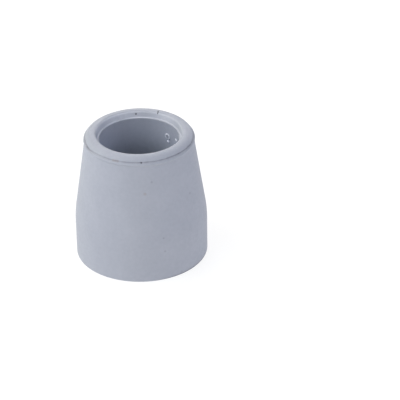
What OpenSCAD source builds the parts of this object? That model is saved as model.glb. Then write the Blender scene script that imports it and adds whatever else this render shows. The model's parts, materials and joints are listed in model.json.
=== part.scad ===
// Rubber ferrule for the foot of a cane, crutch or walking frame leg.
// It is moulded in one piece: a tapered cup with a thick foot and a ring-grooved tread.
// The origin is the centre of the tread face, with +Z up the bore.

/* [Body] */
// Widest diameter, at the top of the foot
body_d = 47; // [44:0.5:54]
// How much narrower the foot is at the tread, for mould draft
foot_draft = 0.2; // [0:0.1:1]
// Height of the foot, where its wall meets the taper
foot_h = 15.5; // [12:0.5:20]
// Radius that blends the foot into the taper
shoulder_r = 47.5; // [20:0.5:60]
// Rounding of the tread's outer edge
edge_r = 0.2; // [0.1:0.1:2]
// Diameter at the top of the taper
neck_d = 38; // [37:0.5:42]
// Height of the taper above the tread, up to the parting line
neck_h = 45.9; // [38:0.1:56]

/* [Rim] */
// How far the moulding flash stands out from the taper
flash_w = 0.45; // [0.2:0.05:1]
// How far the flash lies below the parting line
flash_drop = 1.1; // [0.8:0.1:1.6]
// Height of the flash's sloping underside
flash_foot = 0.5; // [0.3:0.1:1]
// How far the parting line lies inside the top of the taper
line_in = 0.1; // [0:0.05:0.4]
// Height of the rim's crest above the parting line
crest_h = 1.4; // [1:0.1:3]
// Width of the crest between the corners where its two roundings lie
crest_w = 2.7; // [1.6:0.1:3]
// Rounding of the crest on its outer side
crest_outer_r = 3.5; // [1:0.1:4]
// Rounding of the crest into the mouth
crest_inner_r = 1; // [0.5:0.1:1.5]
// How much the mouth's wall opens out, from the ledge up to the crest
mouth_flare = 0.5; // [0.2:0.1:0.8]

/* [Bore] */
// Diameter of the bore that grips the tube
bore_d = 28; // [22:0.5:29]
// Thickness of solid rubber between the tread and the bore's floor
base_t = 13.5; // [10:0.5:20]
// Rounding where the bore's wall meets its floor
bore_floor_r = 1.5; // [0.5:0.1:4]
// Width of the ledge around the bore's mouth
ledge_w = 0.6; // [0.3:0.05:1]
// How far the ledge's outer edge lies below the parting line
ledge_drop = 0.8; // [0.5:0.1:1.2]
// How much the ledge falls towards the bore
ledge_fall = 0.2; // [0:0.05:0.4]

/* [Tread] */
// Diameter of the land in the middle of the tread
centre_land_d = 11; // [10.5:0.1:12]
// Width of the inner ring groove
inner_groove_w = 3.8; // [3:0.1:4.5]
// Width of the land between the two grooves
middle_land_w = 3.8; // [3:0.1:5]
// Width of the outer ring groove
outer_groove_w = 3.6; // [3:0.1:4.5]
// Depth of both grooves
groove_depth = 3.5; // [2:0.1:5]

/* [Gate scar] */
// Diameter of the pit where the rubber was torn off its moulding gate
gate_d = 7; // [6.6:0.1:7.6]
// Offset of the pit from the middle of the tread, across the object
gate_x = -0.2; // [-0.4:0.1:0]
// Offset of the pit from the middle of the tread, towards the back
gate_y = 1.2; // [0.8:0.1:1.4]
// Depth of the pit
gate_depth = 3.5; // [2:0.1:5]
// How far the torn stub in the pit stays below the tread
stub_recess = 0.3; // [0.2:0.1:1]
// Diameter of the stub's tongue
tongue_d = 4.5; // [4:0.1:4.8]
// Diameter of the root that joins the stub to the pit's wall at the back
root_d = 4.8; // [4.4:0.1:5.2]
// Diameter of the root that joins the stub to the pit's wall at the side
side_root_d = 3.4; // [3:0.1:3.8]
// Diameter of the deep tear beside the tongue
tear_d = 2.1; // [1.4:0.1:2.4]

/* [Hidden] */

// Number of straight steps in each rounded corner
arc_steps = 8;
// Largest part of a straight edge that the roundings at its two ends may use up
edge_share = 0.98;
// Extra reach of a cut past the face that it opens
overcut = 1;
$fn = 96;

body_r = body_d / 2;
tread_r = body_r - foot_draft / 2;
neck_r = neck_d / 2;
bore_r = bore_d / 2;
ledge_r = bore_r + ledge_w;
mouth_r = ledge_r + mouth_flare;
taper_slope = (body_r - neck_r) / (neck_h - foot_h);
flash_h = neck_h - flash_drop;
flash_foot_h = flash_h - flash_foot;
ledge_h = neck_h - ledge_drop;
rim_top_h = neck_h + crest_h;

inner_groove_in = centre_land_d / 2;
inner_groove_out = inner_groove_in + inner_groove_w;
outer_groove_in = inner_groove_out + middle_land_w;
outer_groove_out = outer_groove_in + outer_groove_w;

// Places of the stub's tongue, its two roots and the tear, from the middle of the pit
tongue_at = [0.1, -0.95];
root_at = [1.3, 1.6];
side_root_at = [2.1, -0.4];
tear_at = [0.95, -2.15];

// Radius of the taper at a height z
function taper_r(z) = neck_r + taper_slope * (neck_h - z);

function unit(v) = v / norm(v);

// Half of the angle at p between the ways to its two neighbours
function half_angle(before, p, after) = acos(unit(before - p) * unit(after - p)) / 2;

// Points on the arc of radius r that rounds the corner p
function corner_arc(before, p, after, r) =
    let (
        a = unit(before - p),
        b = unit(after - p),
        half = half_angle(before, p, after),
        centre = p + unit(a + b) * r / sin(half),
        start = p + a * r / tan(half) - centre,
        end = p + b * r / tan(half) - centre,
        turn = sign(cross(start, end)) * (180 - 2 * half)
    )
    [for (i = [0:arc_steps])
        let (t = turn * i / arc_steps)
        centre + [start.x * cos(t) - start.y * sin(t), start.x * sin(t) + start.y * cos(t)]];

// A closed outline from corners given as [radius from the axis, height, rounding].
// Where two roundings don't fit on the edge between them, both shrink until they do.
function outline(corners) =
    let (
        n = len(corners),
        p = [for (c = corners) [c[0], c[1]]],
        cut = [for (i = [0:n - 1])
            corners[i][2] / tan(half_angle(p[(i + n - 1) % n], p[i], p[(i + 1) % n]))],
        room = [for (i = [0:n - 1])
            let (wanted = cut[i] + cut[(i + 1) % n])
            wanted > 0 ? edge_share * norm(p[(i + 1) % n] - p[i]) / wanted : 1]
    )
    [for (i = [0:n - 1])
        let (r = corners[i][2] * min(1, room[i], room[(i + n - 1) % n]))
        each r > 0 ? corner_arc(p[(i + n - 1) % n], p[i], p[(i + 1) % n], r) : [p[i]]];

// The tread, from the axis outwards
tread_corners = [
    [0, 0, 0],
    [inner_groove_in, 0, 0],
    [inner_groove_in, groove_depth, 0],
    [inner_groove_out, groove_depth, 0],
    [inner_groove_out, 0, 0],
    [outer_groove_in, 0, 0],
    [outer_groove_in, groove_depth, 0],
    [outer_groove_out, groove_depth, 0],
    [outer_groove_out, 0, 0],
    [tread_r, 0, edge_r]
];

// The outer wall, from the foot up to the flash
wall_corners = [
    [body_r, foot_h, shoulder_r],
    [taper_r(flash_foot_h), flash_foot_h, 0],
    [taper_r(flash_h) + flash_w, flash_h, 0]
];

// The rim, over its crest and down to the ledge
rim_corners = [
    [neck_r - line_in, neck_h, 0],
    [mouth_r + crest_w, rim_top_h, crest_outer_r],
    [mouth_r, rim_top_h, crest_inner_r],
    [ledge_r, ledge_h, 0]
];

// The bore, from its mouth down to the axis
bore_corners = [
    [bore_r, ledge_h - ledge_fall, 0],
    [bore_r, base_t, bore_floor_r],
    [0, base_t, 0]
];

// Plan of the deep part of the pit: all that the torn stub leaves open
module gate_gap_plan() {
    difference() {
        circle(d = gate_d);
        difference() {
            union() {
                translate(tongue_at) circle(d = tongue_d);
                translate(root_at) circle(d = root_d);
                translate(side_root_at) circle(d = side_root_d);
            }
            translate(tear_at) circle(d = tear_d);
        }
    }
}

module gate_scar() {
    translate([gate_x, gate_y, -overcut]) {
        cylinder(d = gate_d, h = stub_recess + overcut);
        linear_extrude(gate_depth + overcut) gate_gap_plan();
    }
}

module rubber_tip() {
    color([0.64, 0.66, 0.71])
        difference() {
            rotate_extrude()
                polygon(outline(concat(tread_corners, wall_corners, rim_corners, bore_corners)));
            gate_scar();
        }
}

rubber_tip();
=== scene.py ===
"""Looks of a rubber cane tip: one moulding of pale grey rubber, standing on a white floor.

Lengths are in millimetres and angles in degrees, until the mesh, the camera and the lights are made.
An azimuth goes round the bore's axis from +X towards +Y, so the front of the tip is at -90.
"""

import json
import math

import bpy
import numpy as np
from mathutils import Matrix, Vector, noise


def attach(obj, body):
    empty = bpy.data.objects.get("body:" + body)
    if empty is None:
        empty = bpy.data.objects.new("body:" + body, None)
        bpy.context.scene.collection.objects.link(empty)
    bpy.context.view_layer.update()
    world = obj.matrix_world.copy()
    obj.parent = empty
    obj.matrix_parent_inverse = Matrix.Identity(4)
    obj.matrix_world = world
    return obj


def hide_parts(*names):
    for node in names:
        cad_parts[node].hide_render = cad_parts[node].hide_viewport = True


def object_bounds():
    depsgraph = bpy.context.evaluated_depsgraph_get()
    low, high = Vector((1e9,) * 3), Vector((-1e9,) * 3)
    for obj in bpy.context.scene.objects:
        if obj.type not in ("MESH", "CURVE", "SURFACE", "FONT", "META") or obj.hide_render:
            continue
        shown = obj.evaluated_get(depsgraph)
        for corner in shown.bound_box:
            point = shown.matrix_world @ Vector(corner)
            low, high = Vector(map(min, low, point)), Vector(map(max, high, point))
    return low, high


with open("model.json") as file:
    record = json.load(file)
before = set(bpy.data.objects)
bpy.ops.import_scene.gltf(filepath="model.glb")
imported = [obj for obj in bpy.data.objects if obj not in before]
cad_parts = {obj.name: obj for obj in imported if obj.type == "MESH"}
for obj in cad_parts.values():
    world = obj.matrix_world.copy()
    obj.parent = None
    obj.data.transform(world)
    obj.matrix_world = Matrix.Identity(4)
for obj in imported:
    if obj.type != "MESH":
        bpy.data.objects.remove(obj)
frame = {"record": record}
cad_low, cad_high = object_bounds()

MM = 0.001
TINY = 1e-6

# ---- Sizes. A name that ends in ROUND is the radius of a rounded corner ----

# Driving sizes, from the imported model
BODY_R = cad_high.x / MM
TOP = cad_high.z / MM
BORE_R = next(m for m in frame["record"]["mounts"] if m["name"] == "bore")["dims"]["r_mm"]

# Foot and taper
FOOT_H = 15.5
FOOT_DRAFT = 0.1
FOOT_ROUND = 0.2
SHOULDER_ROUND = 47.5
NECK_R = 19.0
CREST_H = 1.4
NECK_H = TOP - CREST_H
TAPER = (BODY_R - NECK_R) / (NECK_H - FOOT_H)

# Moulding flash round the top of the taper
FLASH_H = NECK_H - 1.1
FLASH_FOOT_H = FLASH_H - 0.5
FLASH_W = 0.45
FLASH_ROUND = 0.3
FLASH_FOOT_ROUND = 0.4

# Parting line, a fine groove on the slope above the flash
LINE_R = 18.94
LINE_H = NECK_H - 0.1
LINE_SLOPE = 56
LINE_W = 0.36
LINE_DEEP = 0.13
LINE_EDGE_ROUND = 0.06
LINE_FLOOR_ROUND = 0.05

# Ledge in the mouth, and the two corners of the crest
LEDGE_R = BORE_R + 0.6
LEDGE_H = NECK_H - 0.8
LEDGE_FALL = 0.2
LEDGE_OUTER_ROUND = 0.15
LEDGE_INNER_ROUND = 0.12
CREST_INNER_R = LEDGE_R + 0.5
CREST_INNER_ROUND = 1.0
CREST_OUTER_R = CREST_INNER_R + 2.7
CREST_OUTER_ROUND = 3.5

# Bore floor, and the small disc in its middle that closes the mesh
FLOOR_H = 13.5
FLOOR_ROUND = 1.5
FLOOR_DISC_R = 0.4

# Tread: the middle land, and both edges of each ring groove
LAND_R = 5.5
GROOVES = ((LAND_R, 9.3), (13.1, 16.7))
GROOVE_DEEP = 3.5
GROOVE_ROUND = 0.18

# Width of the middle land's edge that is part of the revolved surface
LAND_EDGE_W = 0.35

# Torn gate pit in the middle land
GATE_R = 3.5
GATE_AT = (-0.2, 1.2)
GATE_DEEP = 3.5

# ---- Steps of the mesh. Its rows go round the axis, and its columns lie at one azimuth each ----

# Number of columns away from the mould marks, and largest step between rows
PLAIN_COLUMNS = 220
ROW_STEP = 2.5

# How near its two ends an edge has a row that keeps it straight. A short edge has no extra rows.
SUPPORT = 0.07
SHORT_EDGE = 4 * SUPPORT

# Turn of each step in a rounded corner. A rounding up to FINE_ROUND takes the larger one.
ARC_TURN = 12
FINE_ARC_TURN = 22
FINE_ROUND = 0.5
LEAST_ARC_STEPS = 4

# Largest part of an edge that the roundings at its two ends may use up
EDGE_SHARE = 0.98

# Part of the bore's wall that holds the mould marks, where rows and columns are close together
MARKS_LOW, MARKS_HIGH = 36, 42
MARKS_FROM, MARKS_TO = 14, 54
MARK_ROW_STEP = 0.13
MARK_COLUMN_STEP = 0.5

# Rows in the pit: even ones, and the distances of the last ones from its edge
PIT_ROW_STEP = 0.09
PIT_EDGE_W = 0.2
PIT_EDGE_ROWS = (0.14, 0.09, 0.04, 0)

# Rows between the pit and the revolved surface, as shares of the way
LAND_ROWS = (0.05, 0.4, 0.75)


# ---- Shared formulas ----


def smooth(start, end, x):
    """0 up to start, 1 from end on, and a smooth rise between them."""
    t = np.clip((np.asarray(x, float) - start) / (end - start), 0, 1)
    return t * t * (3 - 2 * t)


def hump(x, half_width):
    """1 at x = 0, falling smoothly to 0 at half_width on both sides."""
    return 1 - smooth(0, half_width, np.abs(x))


def angle_from(centre, azimuths):
    """Signed angle from centre to each azimuth, the short way round."""
    return (azimuths - centre + 180) % 360 - 180


def patches(azimuths, places):
    """Sum of humps round the axis, each of them given as azimuth, half width and size."""
    return sum(size * hump(angle_from(at, azimuths), half_width) for at, half_width, size in places)


def ripple(azimuths, seed, waves=(2, 3, 5, 8, 13)):
    """A wavy value between about -1 and 1 that closes on itself round the axis."""
    rng = np.random.default_rng(seed)
    total = np.zeros(len(azimuths))
    for n in waves:
        total += rng.uniform(0.4, 1) * np.sin(np.radians(n * azimuths + rng.uniform(0, 360)))
    return total / (0.7 * len(waves))


def lumps(x, y, size, seed):
    """Lumpy noise between about -1 and 1, with lumps of that size."""
    flat = [noise.noise(Vector((a / size, b / size, seed))) for a, b in zip(x.ravel(), y.ravel())]
    return np.array(flat).reshape(x.shape)


def from_segment(x, y, start, end):
    """Distance of each point from the stretch between start and end."""
    dx, dy = end[0] - start[0], end[1] - start[1]
    t = np.clip(((x - start[0]) * dx + (y - start[1]) * dy) / (dx * dx + dy * dy), 0, 1)
    return np.hypot(x - start[0] - t * dx, y - start[1] - t * dy)


def from_oval(x, y, centre, half_long, half_wide, turn):
    """About the distance of each point from an oval that is turned by that angle; negative inside it."""
    c, s = math.cos(math.radians(turn)), math.sin(math.radians(turn))
    along = ((x - centre[0]) * c + (y - centre[1]) * s) / half_long
    across = ((y - centre[1]) * c - (x - centre[0]) * s) / half_wide
    return (np.hypot(along, across) - 1) * half_wide


def around(radii, azimuths):
    """The x and y of points at those distances from the axis."""
    return radii * np.cos(np.radians(azimuths)), radii * np.sin(np.radians(azimuths))


# ---- The outline, as points (radius, height) from the tread's middle land to the bore's floor ----


def unit(v):
    return v / np.linalg.norm(v)


def half_angle(before, p, after):
    """Half of the angle at p between the ways to its two neighbours."""
    return math.acos(np.clip(unit(before - p) @ unit(after - p), -1, 1)) / 2


def corner_arc(before, p, after, radius):
    """Points of the arc that rounds the corner p."""
    a, b = unit(before - p), unit(after - p)
    half = half_angle(before, p, after)
    centre = p + unit(a + b) * radius / math.sin(half)
    start = p + a * radius / math.tan(half) - centre
    end = p + b * radius / math.tan(half) - centre
    turn = math.copysign(math.pi - 2 * half, start[0] * end[1] - start[1] * end[0])
    step = math.radians(ARC_TURN if radius > FINE_ROUND else FINE_ARC_TURN)
    steps = max(LEAST_ARC_STEPS, math.ceil(abs(turn) / step))
    turns = [turn * i / steps for i in range(steps + 1)]
    return [centre + (start[0] * math.cos(t) - start[1] * math.sin(t),
                      start[0] * math.sin(t) + start[1] * math.cos(t)) for t in turns]


def rounded(corners):
    """The open line through corners given as (radius, height, rounding).

    Where the roundings at the two ends of an edge don't fit on it, they shrink until they do.
    """
    p = [np.array(c[:2], float) for c in corners]
    inner = range(1, len(p) - 1)
    cuts = [0, *(corners[i][2] / math.tan(half_angle(*p[i - 1:i + 2])) for i in inner), 0]
    fits = [EDGE_SHARE * np.linalg.norm(b - a) / max(cut + cut_after, TINY)
            for a, b, cut, cut_after in zip(p, p[1:], cuts, cuts[1:])]
    points = [p[0]]
    for i in inner:
        radius = corners[i][2] * min(1, fits[i - 1], fits[i])
        points += corner_arc(*p[i - 1:i + 2], radius) if radius else [p[i]]
    return points + [p[-1]]


def taper_r(height):
    """Radius of the taper at that height."""
    return NECK_R + TAPER * (NECK_H - height)


def along_line(distance, inwards):
    """A point near the parting line: distance up the slope it lies on, and inwards from that slope."""
    up, out = math.sin(math.radians(LINE_SLOPE)), math.cos(math.radians(LINE_SLOPE))
    return (LINE_R - distance * out - inwards * up, LINE_H + distance * up - inwards * out)


def outline():
    """The whole outline: the tread, up the wall, over the rim and down the bore."""
    corners = [(LAND_R - LAND_EDGE_W, 0, 0)]
    for inner, outer in GROOVES:
        corners += [(inner, 0, GROOVE_ROUND), (inner, GROOVE_DEEP, GROOVE_ROUND)]
        corners += [(outer, GROOVE_DEEP, GROOVE_ROUND), (outer, 0, GROOVE_ROUND)]
    corners += [
        (BODY_R - FOOT_DRAFT, 0, FOOT_ROUND),
        (BODY_R, FOOT_H, SHOULDER_ROUND),
        (taper_r(FLASH_FOOT_H), FLASH_FOOT_H, FLASH_FOOT_ROUND),
        (taper_r(FLASH_H) + FLASH_W, FLASH_H, FLASH_ROUND),
        (*along_line(-LINE_W / 2, 0), LINE_EDGE_ROUND),
        (*along_line(0, LINE_DEEP), LINE_FLOOR_ROUND),
        (*along_line(LINE_W / 2, 0), LINE_EDGE_ROUND),
        (CREST_OUTER_R, TOP, CREST_OUTER_ROUND),
        (CREST_INNER_R, TOP, CREST_INNER_ROUND),
        (LEDGE_R, LEDGE_H, LEDGE_OUTER_ROUND),
        (BORE_R, LEDGE_H - LEDGE_FALL, LEDGE_INNER_ROUND),
        (BORE_R, FLOOR_H, FLOOR_ROUND),
        (FLOOR_DISC_R, FLOOR_H, 0),
    ]
    return rounded(corners)


def on_bore_wall(radius):
    """Whether a point of the outline lies on the bore's wall."""
    return np.abs(radius - BORE_R) < TINY


def between(a, b):
    """Points between two points of the outline: one near each end, and even ones.

    Across the marks in the bore they are closer together.
    """
    length = np.linalg.norm(b - a)
    if length < SHORT_EDGE:
        return []
    shares = [SUPPORT / length, 1 - SUPPORT / length]
    shares += list(np.linspace(0, 1, math.ceil(length / ROW_STEP) + 1)[1:-1])
    if on_bore_wall(a[0]) and on_bore_wall(b[0]):
        shares = [s for s in shares if not MARKS_LOW < a[1] + s * (b[1] - a[1]) < MARKS_HIGH]
        shares += [(h - a[1]) / (b[1] - a[1]) for h in np.arange(MARKS_LOW, MARKS_HIGH, MARK_ROW_STEP)]
    return [a + s * (b - a) for s in sorted(shares)]


def outline_rows():
    """Radius and height of every row of the revolved surface."""
    points = outline()
    rows = []
    for a, b in zip(points, points[1:]):
        rows += [a, *between(a, b)]
    return np.array(rows + [points[-1]])


def column_azimuths():
    """Azimuths of the mesh's columns, closest together across the marks in the bore."""
    fine = np.arange(MARKS_FROM, MARKS_TO, MARK_COLUMN_STEP)
    plain = np.linspace(MARKS_TO, MARKS_FROM + 360, PLAIN_COLUMNS, endpoint=False)
    return np.concatenate([fine, plain])


# ---- Uneven places on the revolved surface ----

# How far the parting line wanders and sags, and how far above and below it the surface moves with it.
# A sag is its azimuth, half width and depth.
LINE_WANDER = 0.05
LINE_SAGS = ((-158, 26, 0.55), (-18, 26, 0.25))
LINE_REACH = 1.1

# Nicks in the parting line, as azimuth, half width and depth
NICKS = ((-88, 1.8, 0.22), (-24.5, 1.8, 0.22))
NICK_HALF_H = 0.4

# How much the flash varies in width, and how far above and below it the wall still varies with it
FLASH_WANDER = 0.06
FLASH_REACH = 0.5

# Mean depth of the shallow dents in the wall and in the crest, and the heights where they grow and end
WALL_DENTS = 0.03
WALL_DENTS_GROW = (2, 8)
WALL_DENTS_END = (FLASH_FOOT_H - 6, FLASH_FOOT_H)
CREST_DENTS = 0.02
CREST_DENTS_GROW = (NECK_H + 0.5, TOP)

# Raised mould marks inside the bore: a ring that is thin at the bottom, a dot and a dash.
# They lie at (across, height), with across measured along the wall from the azimuth MARKS_AT.
MARKS_AT = 45
MARK_H = 0.3
MARK_TOP_HALF_W = 0.12
MARK_FOOT_HALF_W = 0.34
RING_H = 39.5
RING_R = 0.95
RING_THINNING = 0.2
RING_THINS = (0.3, 0.9)
DOT = ((-0.4, 37.55), (0, 37.75))
DOT_EXTRA_HALF_W = 0.08
DASH = ((-6.1, 40.7), (-5.1, 40.8))
DASH_EXTRA_HALF_W = 0.06


def line_rise(azimuths):
    """How far the parting line lies above its mean height."""
    return LINE_WANDER * ripple(azimuths, seed=3) - patches(azimuths, LINE_SAGS)


def wobble_parting_line(radii, heights, azimuths):
    """The parting line is never straight and has two nicks; the flash below it varies in width."""
    outside = radii > CREST_OUTER_R
    rise = line_rise(azimuths)
    moved = heights + outside * rise * hump(heights - LINE_H, LINE_REACH)
    flutter = FLASH_WANDER * ripple(azimuths, seed=5, waves=(4, 9, 17, 26))
    ragged = flutter * hump(heights - FLASH_H, FLASH_REACH)
    ragged -= patches(azimuths, NICKS) * hump(moved - LINE_H - rise, NICK_HALF_H)
    return radii + outside * ragged, moved


def dent_body(radii, heights, azimuths):
    """The wall and the crest aren't quite round or level."""
    on_wall = smooth(*WALL_DENTS_GROW, heights) * (1 - smooth(*WALL_DENTS_END, heights)) * (radii > NECK_R)
    on_crest = smooth(*CREST_DENTS_GROW, heights)
    dented_radii = radii - WALL_DENTS * (1 + ripple(azimuths, seed=11)) * on_wall
    dented_heights = heights - CREST_DENTS * (1 + ripple(azimuths, seed=13)) * on_crest
    return dented_radii, dented_heights


def mark_relief(heights, azimuths):
    """Height of the raised ring, dot and dash at each point of the bore's wall."""
    across = np.radians(azimuths - MARKS_AT) * BORE_R
    from_ring = np.abs(np.hypot(across, heights - RING_H) - RING_R)
    from_ring += RING_THINNING * smooth(*RING_THINS, RING_H - heights)
    from_dot = from_segment(across, heights, *DOT) - DOT_EXTRA_HALF_W
    from_dash = from_segment(across, heights, *DASH) - DASH_EXTRA_HALF_W
    nearest = np.minimum.reduce([from_ring, from_dot, from_dash])
    return MARK_H * (1 - smooth(MARK_TOP_HALF_W, MARK_FOOT_HALF_W, nearest))


# ---- The torn gate pit ----

# Places in the pit are (u, v) from its middle, as it is seen from below: u to the right and v up.

# Discs (u, v, radius) that make up the stub: its tongue, its root at the back and its root at the side
STUB_DISCS = ((-0.1, -0.95, 2.25), (-1.3, 1.6, 2.4), (-2.1, -0.4, 1.7))

# The stub's top falls from the tread to STUB_DEEP over STUB_SLOPE, towards its lower right.
# A ridge and a valley cross it.
STUB_DEEP = 0.3
STUB_SLOPE = (-2.8, 0.5)
STUB_LEAST_DEEP = 0.02
RIDGE = ((-2.4, -1.3), (1.2, -2.0))
RIDGE_H = 0.2
VALLEY = ((-1.0, -0.55), (1.05, -1.7))
VALLEY_DEEP = 0.22
CREASE_HALF_W = 0.35

# Ovals as middle, half length, half width and turn: a tear through the stub, and a deep pinhole in it.
# The pinhole's edge falls between two distances from its oval.
TEAR = ((-0.95, -2.15), 1.45, 0.72, 12)
PINHOLE = ((-2.7, -0.5), 0.48, 0.27, 25)
PINHOLE_DEEP = 2
PINHOLE_EDGE = (-0.1, 0.12)

# Lumps as size, seed and height: fine ones of torn rubber, and those of the pit's floor
TORN_LUMPS = ((0.8, 1.5, 0.2), (0.35, 4.5, 0.1))
PIT_FLOOR_LUMPS = ((1.2, 8.5, 0.6),)

# Shares of the torn lumps that roughen the tear's edge and the top of the stub
TEAR_RAGGED = 0.5
STUB_RAGGED = 0.25

# Distances from the stub's edge between which it falls to the pit's floor, and width of the pit's own edge
STUB_EDGE = (-0.06, 0.16)
PIT_EDGE_FALL = 0.16


def lump_sum(u, v, layers):
    """Sum of lumps that are given as size, seed and height."""
    return sum(height * lumps(u, v, size, seed) for size, seed, height in layers)


def pit_depth(x, y):
    """Depth of the pit at x, y from its middle: the ragged stub lies near the tread, and the rest is deep."""
    u, v = -x, y
    torn = lump_sum(u, v, TORN_LUMPS)
    from_stub = np.minimum.reduce([np.hypot(u - at_u, v - at_v) - r for at_u, at_v, r in STUB_DISCS])
    from_tear = from_oval(u, v, *TEAR) + TEAR_RAGGED * torn
    open_by = np.maximum(from_stub + torn, -from_tear)

    lower_right = u - 0.6 * v
    ridge = RIDGE_H * hump(from_segment(u, v, *RIDGE), CREASE_HALF_W)
    valley = VALLEY_DEEP * hump(from_segment(u, v, *VALLEY), CREASE_HALF_W)
    stub = STUB_DEEP * smooth(*STUB_SLOPE, lower_right) + STUB_RAGGED * torn + valley - ridge
    stub = np.maximum(stub, STUB_LEAST_DEEP)
    stub += PINHOLE_DEEP * (1 - smooth(*PINHOLE_EDGE, from_oval(u, v, *PINHOLE)))

    floor = GATE_DEEP + lump_sum(u, v, PIT_FLOOR_LUMPS)
    depth = stub + (floor - stub) * smooth(*STUB_EDGE, open_by)
    return depth * (1 - smooth(GATE_R - PIT_EDGE_FALL, GATE_R, np.hypot(u, v)))


# ---- Painted shade, painted light and darkening, from 0 for none to 1. Each patch is an azimuth, a half width and a strength ----

# Darkening along the parting line. Its middle lies a little below the line.
LINE_DARKENING = 0.42
LINE_DARKENING_PATCHES = (
    (-138, 20, -0.15),
    (-164, 20, 0.25),
    (-46, 22, 0.2),
    (-22, 14, 0.15),
    (178, 12, 0.25),
)
LINE_DARKENING_RIPPLE = 0.3
LINE_DARKENING_HALF_W = 0.28
LINE_DARKENING_DROP = 0.05

# Painted shade deep in the bore, and in the pit where it is deep: the heights and the depths between which it
# changes
BORE_PAINTED_SHADE = 0.25
BORE_PAINTED_SHADE_ENDS = (29, 38)
PIT_PAINTED_SHADE_GROWS = (0.3, 1.2)

# Painted light in the mouth: a paler tone on its wall and its ledge where they catch light, and further
# painted patches on the ledge alone.
# The ledge's own heights are widened by LEDGE_MARGIN at both ends.
MOUTH_PAINTED_LIGHT = 0.25
MOUTH_PAINTED_LIGHT_PATCHES = ((54, 34, 0.35), (120, 54, 0.55), (166, 16, 0.35))
MOUTH_PAINTED_LIGHT_ENDS = (CREST_INNER_R, CREST_INNER_R + 0.4)
LEDGE_PAINTED_LIGHT_PATCHES = ((88, 24, 0.3), (116, 13, -0.4))
LEDGE_MARGIN = 0.1

# Painted light on the outer slope of the rim: a paler patch where it catches light
RIM_PAINTED_LIGHT_PATCHES = ((5, 42, 0.3),)
RIM_PAINTED_LIGHT_GROWS_UP = (LINE_H + 0.1, LINE_H + 0.5)
RIM_PAINTED_LIGHT_GROWS_OUT = (CREST_OUTER_R - 1.2, CREST_OUTER_R)


def revolved_painted_shade_and_line_dark(radii, heights, azimuths, in_bore):
    """Darkening of each point of the revolved surface: along the parting line, and painted shade deep in the
    bore.
    """
    strength = LINE_DARKENING + patches(azimuths, LINE_DARKENING_PATCHES)
    strength *= 1 + LINE_DARKENING_RIPPLE * ripple(azimuths, seed=21, waves=(19, 31, 47))
    from_line = heights - LINE_H - line_rise(azimuths) + LINE_DARKENING_DROP
    on_line = hump(from_line, LINE_DARKENING_HALF_W) * (radii > CREST_OUTER_R)
    # Painted shade: the bore gets darker towards its floor
    deep = in_bore * (1 - smooth(*BORE_PAINTED_SHADE_ENDS, heights))
    return strength * on_line + BORE_PAINTED_SHADE * deep


def revolved_painted_light(radii, heights, azimuths, in_bore):
    """Painted light of each point of the revolved surface, in the mouth and on the rim. The raised marks get
    a painted highlight all over.
    """
    # Painted light: the mouth is made paler where it catches light
    in_mouth = smooth(BORE_R, LEDGE_R, radii) * (1 - smooth(*MOUTH_PAINTED_LIGHT_ENDS, radii))
    in_mouth *= heights > LEDGE_H - LEDGE_FALL - LEDGE_MARGIN
    on_ledge = heights < LEDGE_H + LEDGE_MARGIN
    strength = MOUTH_PAINTED_LIGHT + patches(azimuths, MOUTH_PAINTED_LIGHT_PATCHES)
    mouth = in_mouth * (strength + on_ledge * patches(azimuths, LEDGE_PAINTED_LIGHT_PATCHES))
    # Painted light: a paler patch on the rim's outer slope
    on_rim = smooth(*RIM_PAINTED_LIGHT_GROWS_UP, heights) * smooth(*RIM_PAINTED_LIGHT_GROWS_OUT, radii)
    rim = on_rim * patches(azimuths, RIM_PAINTED_LIGHT_PATCHES)
    # Painted highlight: the raised marks are paler, most on their tops
    marks = in_bore * mark_relief(heights, azimuths) / MARK_H
    return np.maximum.reduce([mouth, rim, marks])


# ---- The mesh ----


def pit_grid(azimuths):
    """Vertices of the gate pit in rows round its middle, and the depth of each."""
    even_rows = np.arange(PIT_ROW_STEP, GATE_R - PIT_EDGE_W, PIT_ROW_STEP)
    radii = np.append(even_rows, GATE_R - np.array(PIT_EDGE_ROWS))
    x, y = around(radii[:, None], azimuths)
    depth = pit_depth(x, y)
    return np.stack([x + GATE_AT[0], y + GATE_AT[1], depth], axis=2), depth


def tip_grid():
    """Vertices in rows from the pit's middle to the bore's floor, with the painted shade and darkening, and
    the painted light, of each.
    """
    azimuths = column_azimuths()
    pit, depth = pit_grid(azimuths)

    rows = outline_rows()
    radii = np.repeat(rows[:, :1], len(azimuths), axis=1)
    heights = np.repeat(rows[:, 1:], len(azimuths), axis=1)
    in_bore = on_bore_wall(radii)
    radii = radii - in_bore * mark_relief(heights, azimuths)
    radii, heights = wobble_parting_line(radii, heights, azimuths)
    radii, heights = dent_body(radii, heights, azimuths)
    revolved = np.stack([*around(radii, azimuths), heights], axis=2)

    land = [pit[-1] + share * (revolved[0] - pit[-1]) for share in LAND_ROWS]
    grid = np.concatenate([pit, land, revolved])

    painted_shade_and_line_dark = np.zeros(grid.shape[:2])
    # Painted shade: the pit is darker where it is deeper
    painted_shade_and_line_dark[:len(pit)] = smooth(*PIT_PAINTED_SHADE_GROWS, depth)
    painted_shade_and_line_dark[-len(rows):] = revolved_painted_shade_and_line_dark(radii, heights, azimuths, in_bore)
    painted_light = np.zeros(grid.shape[:2])
    painted_light[-len(rows):] = revolved_painted_light(radii, heights, azimuths, in_bore)
    return grid * MM, painted_shade_and_line_dark, painted_light


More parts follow.
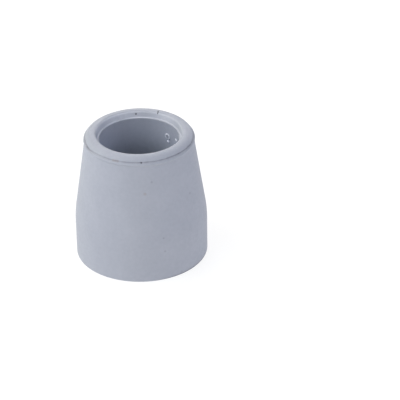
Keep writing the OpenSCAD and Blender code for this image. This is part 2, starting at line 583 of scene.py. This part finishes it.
def tip_mesh():
    """The grid's vertices joined by quads, with a fan of triangles that closes each end."""
    grid, painted_shade_and_line_dark, painted_light = tip_grid()
    rows, columns = painted_shade_and_line_dark.shape
    corners = np.arange(rows * columns).reshape(rows, columns)
    ahead = np.roll(corners, -1, axis=1)
    quads = np.stack([corners[:-1], ahead[:-1], ahead[1:], corners[1:]], axis=2).reshape(-1, 4)
    first, last = rows * columns, rows * columns + 1
    fans = [(first, b, a) for a, b in zip(corners[0], ahead[0])]
    fans += [(last, a, b) for a, b in zip(corners[-1], ahead[-1])]
    middles = [grid[0].mean(axis=0), grid[-1].mean(axis=0)]
    mesh = bpy.data.meshes.new("tip")
    mesh.from_pydata([*grid.reshape(-1, 3).tolist(), *middles], [], quads.tolist() + fans)
    mesh.shade_smooth()
    for name, values in (("painted_shade_and_line_dark", painted_shade_and_line_dark), ("painted_light", painted_light)):
        layer = mesh.attributes.new(name, "FLOAT", "POINT")
        layer.data.foreach_set("value", np.append(values.ravel(), (values[0].mean(), values[-1].mean())))
    mesh.validate()
    return mesh


# ---- The rubber ----

# The dark colour below is that of the real specks, and also paints shade in the bore, in the pit and at the
# foot, and darkens the parting line. The pale one is painted light.
RUBBER = (0.38, 0.40, 0.46, 1)
RUBBER_DARK = (0.34, 0.36, 0.42, 1)
DIRT_AND_SHADE = (0.07, 0.07, 0.085, 1)
SCORCH = (0.30, 0.26, 0.24, 1)
PAINTED_LIGHT_COLOUR = (0.70, 0.72, 0.78, 1)
ROUGHNESS = (0.5, 0.62)

# Size of the clouds, the mottling and the grain, and how much the first two darken the rubber.
# Such noise lies mostly in NOISE_RANGE. The mottling darkens over a range of its own.
CLOUD_SIZE = 9
MOTTLE_SIZE = 1.2
GRAIN_SIZE = 0.25
CLOUD_SHADE = 0.5
MOTTLE_SHADE = 0.4
NOISE_RANGE = (0.3, 0.7)
MOTTLE_SHADE_RANGE = (0.35, 0.7)

# Factors between which the mottling varies the painted light and the darkening, the darkening over a range of
# its own
PAINTED_LIGHT_FACTORS = (0.8, 1)
SHADE_AND_LINE_DARK_FACTORS = (0.6, 0.9)
SHADE_AND_LINE_DARK_RANGE = (0.2, 0.6)

# The bumps of the surface are mottling plus this share of grain
GRAIN_SHARE = 0.6
BUMP_H = 0.06
BUMP_STRENGTH = 0.25

# Specks as azimuth, distance from the axis, height and radius.
# A row of three tan ones follows the parting line.
TAN_SPECKS = (
    (-84.3, 20.8, 34.2, 0.4),
    (-112, 18.9, 45.7, 0.35),
    (-114.5, 18.9, 45.7, 0.35),
    (-117, 18.9, 45.7, 0.35),
)

# Five faint specks on the wall and two on the tread
FAINT_SPECKS = (
    (-77.2, 20.1, 38.3, 0.3),
    (-35.2, 21.4, 29.4, 0.3),
    (-69.5, 23.3, 16.9, 0.3),
    (-68.6, 23.5, 11.6, 0.3),
    (-52.9, 23.4, 1.0, 0.35),
    (165, 18.4, 0, 0.35),
    (164, 19.1, 0, 0.4),
)

# A dark speck in the mouth, four that make a short scratch across the rim, one on the parting line,
# one on the tread beside the outer groove and two in the inner groove
DARK_SPECKS = (
    (95, 14.9, 46.2, 0.26),
    (65, 15.1, 46.9, 0.19),
    (65, 15.5, 47.2, 0.21),
    (65.5, 15.9, 47.3, 0.21),
    (66, 16.3, 47.3, 0.19),
    (-86.8, 18.9, 45.65, 0.25),
    (-92.3, 17.1, 0.1, 0.35),
    (150, 9.3, 1.8, 0.3),
    (157, 9.3, 1.8, 0.2),
)

# All specks with their strength and colour. A speck has faded out at SPECK_FADE times its radius.
SPECKS = ((TAN_SPECKS, 0.4, SCORCH), (FAINT_SPECKS, 0.2, DIRT_AND_SHADE), (DARK_SPECKS, 0.8, DIRT_AND_SHADE))
SPECK_FADE = 1.7

# Painted contact shadow, a thin dark edge low on the foot: its strength, the azimuth it faces, the heights
# between which it fades, and the shares of the body's radius, towards that azimuth, between which it grows
FOOT_PAINTED_SHADE = 0.5
FOOT_PAINTED_SHADE_AT = -25
FOOT_PAINTED_SHADE_ENDS = (0.2, 0.8)
FOOT_PAINTED_SHADE_GROWS = (0.6, 0.9)


class Nodes:
    """Short ways to add the nodes of one material."""

    def __init__(self, name):
        self.material = bpy.data.materials.new(name)
        self.material.use_nodes = True
        self.tree = self.material.node_tree
        self.shader = self.tree.nodes["Principled BSDF"]

    def add(self, kind, links=None, **settings):
        node = self.tree.nodes.new(kind)
        for key, value in settings.items():
            setattr(node, key, value)
        for socket, value in (links or {}).items():
            self.set(node.inputs[socket], value)
        return node

    def set(self, socket, value):
        if isinstance(value, bpy.types.NodeSocket):
            self.tree.links.new(value, socket)
        else:
            socket.default_value = value

    def math(self, operation, a, b):
        return self.add("ShaderNodeMath", {0: a, 1: b}, operation=operation).outputs[0]

    def vector_math(self, operation, a, b):
        return self.add("ShaderNodeVectorMath", {0: a, 1: b}, operation=operation).outputs["Value"]

    def noise(self, place, size, detail):
        links = {"Vector": place, "Scale": 1 / (size * MM), "Detail": detail}
        return self.add("ShaderNodeTexNoise", links).outputs[0]

    def ramp(self, value, start, end, low=0.0, high=1.0):
        """low up to start, high from end on, and an even change between them."""
        links = {0: value, 1: start, 2: end, 3: low, 4: high}
        return self.add("ShaderNodeMapRange", links).outputs[0]

    def mix(self, amount, a, b):
        """The colour a where amount is 0, and b where it is 1."""
        node = self.add("ShaderNodeMix", data_type="RGBA")
        for socket, value in ((0, amount), (6, a), (7, b)):
            self.set(node.inputs[socket], value)
        return node.outputs[2]


def towards(azimuth, elevation=0):
    """The unit vector with that azimuth and elevation."""
    a, e = math.radians(azimuth), math.radians(elevation)
    return Vector((math.cos(a) * math.cos(e), math.sin(a) * math.cos(e), math.sin(e)))


def spots(nodes, place, specks, strength):
    """That strength inside any of the specks, and 0 away from them."""
    total = 0.0
    for azimuth, radius, height, size in specks:
        middle = (towards(azimuth) * radius + Vector((0, 0, height))) * MM
        away = nodes.vector_math("DISTANCE", place, middle)
        spot = nodes.ramp(away, size * MM, SPECK_FADE * size * MM, strength, 0)
        total = nodes.math("MAXIMUM", total, spot)
    return total


def foot_painted_shade(nodes, place):
    """Strength of the painted contact shadow low on the foot."""
    height = nodes.add("ShaderNodeSeparateXYZ", {0: place}).outputs["Z"]
    low = nodes.ramp(height, *(h * MM for h in FOOT_PAINTED_SHADE_ENDS), FOOT_PAINTED_SHADE, 0)
    ahead = nodes.vector_math("DOT_PRODUCT", place, towards(FOOT_PAINTED_SHADE_AT))
    facing = nodes.ramp(ahead, *(share * BODY_R * MM for share in FOOT_PAINTED_SHADE_GROWS))
    return nodes.math("MULTIPLY", low, facing)


def rubber_material():
    """Matte rubber, clouded and mottled, with the painted light, specks, painted shade and darkening, and the
    painted shadow at the foot laid over it in that order.
    """
    nodes = Nodes("grey_rubber")
    place = nodes.add("ShaderNodeTexCoord").outputs["Object"]
    painted_shade_and_line_dark = nodes.add("ShaderNodeAttribute", attribute_name="painted_shade_and_line_dark").outputs["Fac"]
    painted_light = nodes.add("ShaderNodeAttribute", attribute_name="painted_light").outputs["Fac"]
    clouds = nodes.noise(place, CLOUD_SIZE, detail=3)
    mottle = nodes.noise(place, MOTTLE_SIZE, detail=3)
    grain = nodes.noise(place, GRAIN_SIZE, detail=2)

    cloud_shade = nodes.ramp(clouds, *NOISE_RANGE, 0, CLOUD_SHADE)
    mottle_shade = nodes.ramp(mottle, *MOTTLE_SHADE_RANGE, 0, MOTTLE_SHADE)
    colour = nodes.mix(nodes.math("ADD", cloud_shade, mottle_shade), RUBBER, RUBBER_DARK)
    # Painted light: paler in the mouth, on the rim and on the raised marks
    patchy_painted_light = nodes.math("MULTIPLY", painted_light, nodes.ramp(mottle, *NOISE_RANGE, *PAINTED_LIGHT_FACTORS))
    colour = nodes.mix(patchy_painted_light, colour, PAINTED_LIGHT_COLOUR)
    for specks, strength, speck_colour in SPECKS:
        colour = nodes.mix(spots(nodes, place, specks, strength), colour, speck_colour)
    # Painted shade in the bore and in the pit, and darkening along the parting line
    patchy_painted_shade_and_line_dark = nodes.math("MULTIPLY", painted_shade_and_line_dark, nodes.ramp(mottle, *SHADE_AND_LINE_DARK_RANGE, *SHADE_AND_LINE_DARK_FACTORS))
    colour = nodes.mix(patchy_painted_shade_and_line_dark, colour, DIRT_AND_SHADE)
    # Painted contact shadow low on the foot
    colour = nodes.mix(foot_painted_shade(nodes, place), colour, DIRT_AND_SHADE)
    nodes.set(nodes.shader.inputs["Base Color"], colour)
    nodes.set(nodes.shader.inputs["Roughness"], nodes.ramp(mottle, *NOISE_RANGE, *ROUGHNESS))

    height = nodes.math("ADD", nodes.math("MULTIPLY", grain, GRAIN_SHARE), mottle)
    bump = nodes.add("ShaderNodeBump", {"Strength": BUMP_STRENGTH, "Distance": BUMP_H * MM, "Height": height})
    nodes.set(nodes.shader.inputs["Normal"], bump.outputs[0])
    return nodes.material


def make_tip():
    tip = bpy.data.objects.new("tip", tip_mesh())
    bpy.context.scene.collection.objects.link(tip)
    tip.data.materials.append(rubber_material())
    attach(tip, "root")
    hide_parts("rubber_tip")


# ---- Floor, lights and camera. Widths and distances of the first two are in metres ----

WHITE = (1, 1, 1, 1)

# The floor glows, so that it is almost white and the tip's shadow on it stays faint
FLOOR_HALF_W = 3.0
FLOOR_GREY = (0.2, 0.2, 0.2, 1)
FLOOR_ROUGHNESS = 0.9
FLOOR_GLOW = 0.83

# Even white light from all sides
WORLD_GLOW = 0.2

# Softboxes: name, azimuth, elevation, width, power in watts and tint.
# Each one faces the middle of the tip from BOX_DISTANCE away.
BOX_DISTANCE = 1.4
SOFTBOXES = (
    ("left_high_box", 180, 62, 1.0, 7.4, (1, 0.91, 0.72)),
    ("left_box", 180, 35, 0.8, 7.2, (0.94, 0.94, 1)),
    ("left_back_box", 138, 10, 0.8, 3.3, (0.97, 1, 0.7)),
    ("front_left_box", -135, 35, 0.8, 5.3, (0.64, 0.81, 1)),
    ("front_box", -90, 12, 0.8, 3.4, (1, 0.83, 0.65)),
    ("front_right_box", -45, 35, 0.8, 2.6, (0.59, 0.73, 1)),
    ("right_box", 0, 35, 0.8, 4.7, (0.76, 0.82, 1)),
    ("back_box", 90, 35, 0.8, 6.8, (1, 0.97, 0.97)),
)

# Camera, in front: elevation and roll, lens and sensor, distance, and how far right of and above the
# tread's middle it aims. It sees what lies between the two distances of CAMERA_CLIP, in metres.
CAMERA_ELEVATION = 31
CAMERA_ROLL = -0.84
CAMERA_LENS = 212.2
CAMERA_SENSOR_W = 36
CAMERA_DISTANCE = 846.7
CAMERA_AIM = (20.71, 16.71)
CAMERA_CLIP = (0.01, 20)


def floor_material():
    nodes = Nodes("white_floor")
    nodes.set(nodes.shader.inputs["Base Color"], FLOOR_GREY)
    nodes.set(nodes.shader.inputs["Roughness"], FLOOR_ROUGHNESS)
    nodes.set(nodes.shader.inputs["Emission Color"], WHITE)
    nodes.set(nodes.shader.inputs["Emission Strength"], FLOOR_GLOW)
    return nodes.material


def make_floor():
    w = FLOOR_HALF_W
    mesh = bpy.data.meshes.new("floor")
    mesh.from_pydata([(-w, -w, 0), (w, -w, 0), (w, w, 0), (-w, w, 0)], [], [(0, 1, 2, 3)])
    mesh.materials.append(floor_material())
    floor = bpy.data.objects.new("floor", mesh)
    bpy.context.scene.collection.objects.link(floor)


def make_world():
    world = bpy.data.worlds.new("studio")
    world.use_nodes = True
    background = world.node_tree.nodes["Background"]
    background.inputs["Color"].default_value = WHITE
    background.inputs["Strength"].default_value = WORLD_GLOW
    bpy.context.scene.world = world


def make_softbox(name, azimuth, elevation, width, power, tint):
    light = bpy.data.lights.new(name, "AREA")
    light.shape = "SQUARE"
    light.size = width
    light.energy = power
    light.color = tint
    box = bpy.data.objects.new(name, light)
    way = towards(azimuth, elevation)
    box.location = way * BOX_DISTANCE + Vector((0, 0, TOP / 2 * MM))
    box.rotation_euler = way.to_track_quat("Z", "Y").to_euler()
    bpy.context.scene.collection.objects.link(box)


def make_camera():
    camera = bpy.data.cameras.new("camera")
    camera.lens = CAMERA_LENS
    camera.sensor_width = CAMERA_SENSOR_W
    camera.clip_start, camera.clip_end = CAMERA_CLIP
    e, roll = math.radians(CAMERA_ELEVATION), math.radians(CAMERA_ROLL)
    level, back = Vector((1, 0, 0)), Vector((0, -math.cos(e), math.sin(e)))
    upright = back.cross(level)
    right = level * math.cos(roll) + upright * math.sin(roll)
    up = upright * math.cos(roll) - level * math.sin(roll)
    turn = Matrix((right, up, back)).transposed()
    place = turn @ Vector((*CAMERA_AIM, CAMERA_DISTANCE)) * MM
    holder = bpy.data.objects.new("camera", camera)
    holder.matrix_world = Matrix.Translation(place) @ turn.to_4x4()
    bpy.context.scene.collection.objects.link(holder)
    bpy.context.scene.camera = holder


make_tip()
make_floor()
make_world()
for softbox in SOFTBOXES:
    make_softbox(*softbox)
make_camera()
bpy.context.scene.view_settings.view_transform = "Standard"

bpy.context.view_layer.update()
